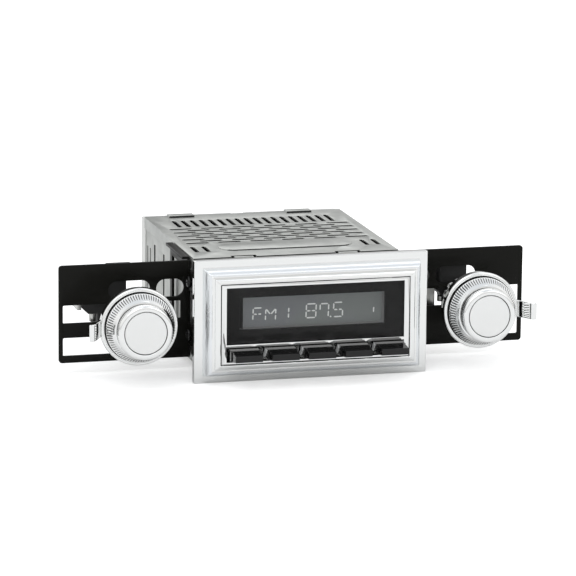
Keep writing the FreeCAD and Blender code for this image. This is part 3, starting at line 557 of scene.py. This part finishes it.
def make_lever(name, side):
    """The ring behind the knob with its rounded rim, and the bent finger strip at its side."""
    x = SHAFTS[name]
    rim = [(2.9, 1.2), (15.95, 1.2), (16.05, 1.1), (16.1, -1.2), (16.18, -1.42), (16.38, -1.5),
           (16.62, -1.48), (16.76, -1.3), (16.86, -1.3), (17.0, -1.48), (17.3, -1.5), (17.6, -1.34),
           (17.8, -1.0), (17.9, -0.6), (17.9, 2.7), (17.8, 3.1), (17.5, 3.45), (17.1, 3.6), (6.8, 3.6),
           (5.2, 7.6), (2.9, 7.6)]
    ring = spun(rim, x, SHAFT_Z, 160, True)
    half_thick, half_wide = 0.6, 3.9
    bends = ((16.6, 0.9), (17.6, 0.5), (18.2, -0.5), (21.6, -6.9), (22.2, -7.9), (23.0, -8.7),
             (24.6, -8.8))
    line = [Vector(bend) for bend in bends]
    near, far = [], []
    for i, point in enumerate(line):
        way = (line[min(i + 1, len(line) - 1)] - line[max(i - 1, 0)]).normalized()
        off = Vector((-way.y, way.x)) * half_thick
        near.append(point + off)
        far.append(point - off)
    outline = [(x + side * p.x, p.y) for p in near + far[::-1]]
    strip = prism(outline, SHAFT_Z - half_wide, SHAFT_Z + half_wide, axis="Z")
    # A black ring fills the groove inside the rim, behind the knob's skirt.
    black_fill = [(3.0, -0.9), (15.6, -0.9), (16.03, -0.75), (16.03, 1.1), (3.0, 1.1)]
    groove = spun(black_fill, x, SHAFT_Z, 128, True)
    build(f"{name}_groove_black_fill", "black_matte", f"{name}_lever", *groove, crease=40)
    build(f"{name}_lever_rim", "chrome", f"{name}_lever", *ring, [f"{name}_lever_ring"], crease=40)
    build(f"{name}_lever_finger", "chrome", f"{name}_lever", *strip, bevel=0.25, crease=40)


# ---------------------------------------------------------------- screws and rear fittings
def cut_away(piece, verts, faces):
    """Cut a closed shape out of the piece for good; this also settles the piece's modifiers."""
    tool = add_object("recess", clean_mesh("recess", verts, faces))
    carve = piece.modifiers.new("recess", "BOOLEAN")
    carve.object = tool
    carve.operation = "DIFFERENCE"
    carve.solver = "EXACT"
    bpy.context.view_layer.update()
    finished = piece.evaluated_get(bpy.context.evaluated_depsgraph_get())
    carved = bpy.data.meshes.new_from_object(finished)
    piece.modifiers.clear()
    piece.data = carved
    bpy.data.objects.remove(tool)


def pan_screws(name, finish, places, axis, nodes):
    """Domed screw heads on the chassis; each place is where a shank meets its seat."""
    radius, height, crease = 2.75, 1.9, 32
    dome = [(radius * math.cos(t), height * 0.45 + height * 0.55 * math.sin(t))
            for t in (math.radians(90 * i / 8) for i in range(8))]
    profile = [(radius * 0.5, -1.2), (radius * 0.5, 0), (radius, 0), *dome, (0.02, height)]
    head = spun([(r, -y) for r, y in profile], 0, 0, 48)
    arm, slit, sunk = (-1.5, 1.5), (-0.32, 0.32), (-height - 1, -height + 0.85)
    cross = (box(arm, sunk, slit), box(slit, sunk, arm))
    spin = Vector((0, -1, 0)).rotation_difference(Vector(axis)).to_matrix()
    heads = build(name, finish, "chassis", *join(*(moved(head, spin, place) for place in places)),
                  nodes, crease=crease)
    for place in places:
        for bar in cross:
            cut_away(heads, *moved(bar, spin, place))
    shade_smooth(heads.data, crease)


def make_screws():
    """Two screws through each bracket, heads 0.06 clear of it, and two through the rear wall."""
    seat, levels = 50.56, (13.3, -11.7)
    for name, side in (("left", -1), ("right", 1)):
        pan_screws(f"{name}_bracket_pan_screws", "black_gloss",
                   [(side * seat, 23.5, level) for level in levels], (side, 0, 0),
                   [f"{name}_bracket_screws"])
    pan_screws("rear_pan_screws", "screw_steel", [(-44, 127.5, -20), (44, 127.5, -7.2)], (0, 1, 0),
               ["heat_sink_screws"])


def make_rear_fittings():
    """Contacts inside the rear sockets, and the threaded stud, all on the chassis."""
    pitch = 2.9
    pins = [box((-18.6 + pitch * n, -17.4 + pitch * n), (121, 128.6), (z - 0.4, z + 0.4))
            for n in range(8) for z in (-19.4, -14.6)]
    build("harness_pins", "brass", "chassis", *join(*pins), bevel=0.12)
    contact = spun([(0.9, 124.2), (1.5, 124.2), (1.6, 124.6), (1.6, 132.6), (1.4, 132.9), (0.9, 132.9)],
                   -33, -17, 48, True)
    build("aerial_contact", "brass", "chassis", *contact)
    shell = [(4.1, 128.0), (4.35, 128.1), (4.4, 128.4), (4.4, 133.6), (4.25, 133.9), (3.6, 133.95),
             (3.5, 133.7), (3.5, 133.35), (4.1, 133.3)]
    shells = [spun(shell, x, z, 64, True) for x in (16, 28) for z in (-20.3, -11.2)]
    build("audio_shells", "tin", "chassis", *join(*shells), crease=40)
    prongs = [box(span, (132.88, 133.1), (-20.6, -14.4)) for span in ((37.8, 38.5), (39.5, 40.2))]
    build("fuse_prongs", "tin", "chassis", *join(*prongs))
    threads = []
    crest, root = 2.95, 2.6
    for n in range(12):
        y = 134.6 + n
        threads += [(crest, y), (crest, y + 0.3), (root, y + 0.5), (root, y + 0.7)]
    collar = [(root, 120), (root, 127.5), (3.05, 127.5), (3.05, 132.6), (5.0, 132.6), (5.2, 132.8),
              (5.2, 134.0), (5.0, 134.2), (crest, 134.2)]
    tip = [(crest, 146.7), (2.5, 147.2), (0.02, 147.2), (0.02, 120)]
    stud = spun(collar + threads + tip, -1.15, 8, 64, True)
    build("rear_stud_thread", "screw_steel", "chassis", *stud, ["rear_stud"], crease=30)


def make_linings():
    """Insulating sheet folded inside the chassis, gasket on the lid's front edge: void black painted
    shade.
    """
    outer, inner, top, under, foot = 46.9, 46.6, 22.5, 22.2, -24.6
    fold = [(-outer, foot), (-outer, top), (outer, top), (outer, foot), (inner, foot), (inner, under),
            (-inner, under), (-inner, foot)]
    # painted shade for the dark inside seen through the lid's slots
    sheet = loft([[(x, y, z) for x, z in fold] for y in (25.5, 124)])
    build("insulating_sheet", "shade_lining", "chassis", *sheet, crease=30)
    # painted shade along the lid's front edge
    spans = ((-48.6, -31.0), (-18.7, 18.7), (31.0, 48.6))
    strips = [box(span, (21.3, 23.78), (22.6, 23.85)) for span in spans]
    build("lid_gasket", "shade_lining", "chassis", *join(*strips), bevel=0.1)


make_bezel()
make_linings()
for key_number in range(1, KEY_COUNT + 1):
    make_key(key_number)
make_marks()
make_window_liner()
for shaft_name, shaft_side in (("left", -1), ("right", 1)):
    make_knob(shaft_name)
    make_lever(shaft_name, shaft_side)
make_screws()
make_rear_fittings()


# ---------------------------------------------------------------- studio and camera
def make_world():
    """A white backdrop for the camera and, for everything else, a pale room with one dark patch."""
    world = bpy.data.worlds.new("studio")
    bpy.context.scene.world = world
    world.use_nodes = True
    world.node_tree.nodes.clear()
    out = node(world, "ShaderNodeOutputWorld")
    mix = node(world, "ShaderNodeMixShader")
    seen = node(world, "ShaderNodeLightPath")
    white = node(world, "ShaderNodeBackground", Color=(1, 1, 1, 1))
    room = node(world, "ShaderNodeBackground", Strength=1.05)
    place = node(world, "ShaderNodeTexCoord")
    split = node(world, "ShaderNodeSeparateXYZ")

    # The room's tone from straight down (0) through the horizon (0.5) to straight up (1).
    tones = [(0.0, (0.95, 0.95, 0.95)), (0.44, (0.92, 0.92, 0.92)), (0.495, (0.73, 0.73, 0.725)),
             (0.53, (0.68, 0.68, 0.675)), (0.6, (0.9, 0.9, 0.895)), (0.72, (1.0, 1.0, 0.995)),
             (0.85, (0.94, 0.95, 0.96)), (1.0, (0.78, 0.81, 0.85))]
    height = node(world, "ShaderNodeMapRange", From_Min=-1)
    ramp = node(world, "ShaderNodeValToRGB")
    elements = ramp.color_ramp.elements
    for element, (position, color) in zip(elements, (tones[0], tones[-1])):
        element.position, element.color = position, (*color, 1)
    for position, color in tones[1:-1]:
        elements.new(position).color = (*color, 1)

    # The dark patch: full within the cosine From Max of its direction, gone at From Min.
    toward = node(world, "ShaderNodeVectorMath", operation="DOT_PRODUCT")
    toward.inputs[1].default_value = Vector((-0.02, 0.97, 0.24)).normalized()
    dim = node(world, "ShaderNodeMapRange", From_Min=0.93, From_Max=0.985, To_Min=1.0, To_Max=0.08)
    shade = node(world, "ShaderNodeVectorMath", operation="SCALE")

    link(world, place, "Generated", split, "Vector")
    link(world, split, "Z", height, "Value")
    link(world, height, "Result", ramp, "Fac")
    link(world, place, "Generated", toward, 0)
    link(world, toward, "Value", dim, "Value")
    link(world, ramp, "Color", shade, 0)
    link(world, dim, "Result", shade, "Scale")
    link(world, shade, "Vector", room, "Color")
    link(world, seen, "Is Camera Ray", mix, "Fac")
    link(world, room, "Background", mix, 1)
    link(world, white, "Background", mix, 2)
    link(world, mix, "Shader", out, "Surface")


def make_floor():
    """A pale floor at the bezel's foot, lifted a little for the camera alone."""
    half, z, lift_strength = 6.0, cad_box[0].z, 0.42
    mesh = bpy.data.meshes.new("floor")
    corners = [(-half, -half, z), (half, -half, z), (half, half, z), (-half, half, z)]
    mesh.from_pydata(corners, [], [(0, 1, 2, 3)])
    floor = add_object("floor", mesh)
    mat = new_material("floor", (0.85, 0.85, 0.845), 0.6, Specular_IOR_Level=0.2,
                       Emission_Color=(1, 1, 1, 1))
    lift = node(mat, "ShaderNodeMath", operation="MULTIPLY")
    lift.inputs[1].default_value = lift_strength
    link(mat, node(mat, "ShaderNodeLightPath"), "Is Camera Ray", lift, 0)
    link(mat, lift, "Value", mat.node_tree.nodes["Principled BSDF"], "Emission Strength")
    mesh.materials.append(mat)


def aim(place, target):
    """The turn that points a light's or a camera's -Z from place to target, with Y up."""
    return (Vector(target) - Vector(place)).to_track_quat("-Z", "Y")


def area_light(name, place, target, size, power):
    """A white rectangular light, with its places and size in metres and its power in watts."""
    data = bpy.data.lights.new(name, "AREA")
    data.shape = "RECTANGLE"
    data.size, data.size_y = size
    data.energy = power
    lamp = add_object(name, data)
    lamp.location = place
    lamp.rotation_euler = aim(place, target).to_euler()


def make_camera():
    """A long lens, 15 degrees to the left of the nose and 12 above it."""
    yaw, rise, roll = math.radians(15.07), math.radians(12.21), math.radians(0.555)
    distance, target = 1.743667, Vector((-11.187, -3.0, 14.078)) * MM
    away = Vector((-math.sin(yaw) * math.cos(rise), -math.cos(yaw) * math.cos(rise), math.sin(rise)))
    data = bpy.data.cameras.new("camera")
    data.sensor_width, data.lens = 36, 239.74
    data.clip_start, data.clip_end = 0.05, 50
    camera = add_object("camera", data)
    turn = aim(away, (0, 0, 0)).to_matrix() @ Matrix.Rotation(roll, 3, "Z")
    camera.matrix_world = Matrix.Translation(target + away * distance) @ turn.to_4x4()
    bpy.context.scene.camera = camera


make_world()
make_floor()
area_light("key", (-0.5, -0.6, 1.2), (0, 0.05, 0), (1.0, 1.0), 4)
area_light("fill", (0.8, -0.7, 0.9), (0, 0, 0), (0.9, 0.9), 2)
area_light("back", (0.1, 1.1, 1.1), (0, 0.05, 0), (1.2, 0.8), 2)
make_camera()
bpy.context.scene.view_settings.view_transform = "Standard"
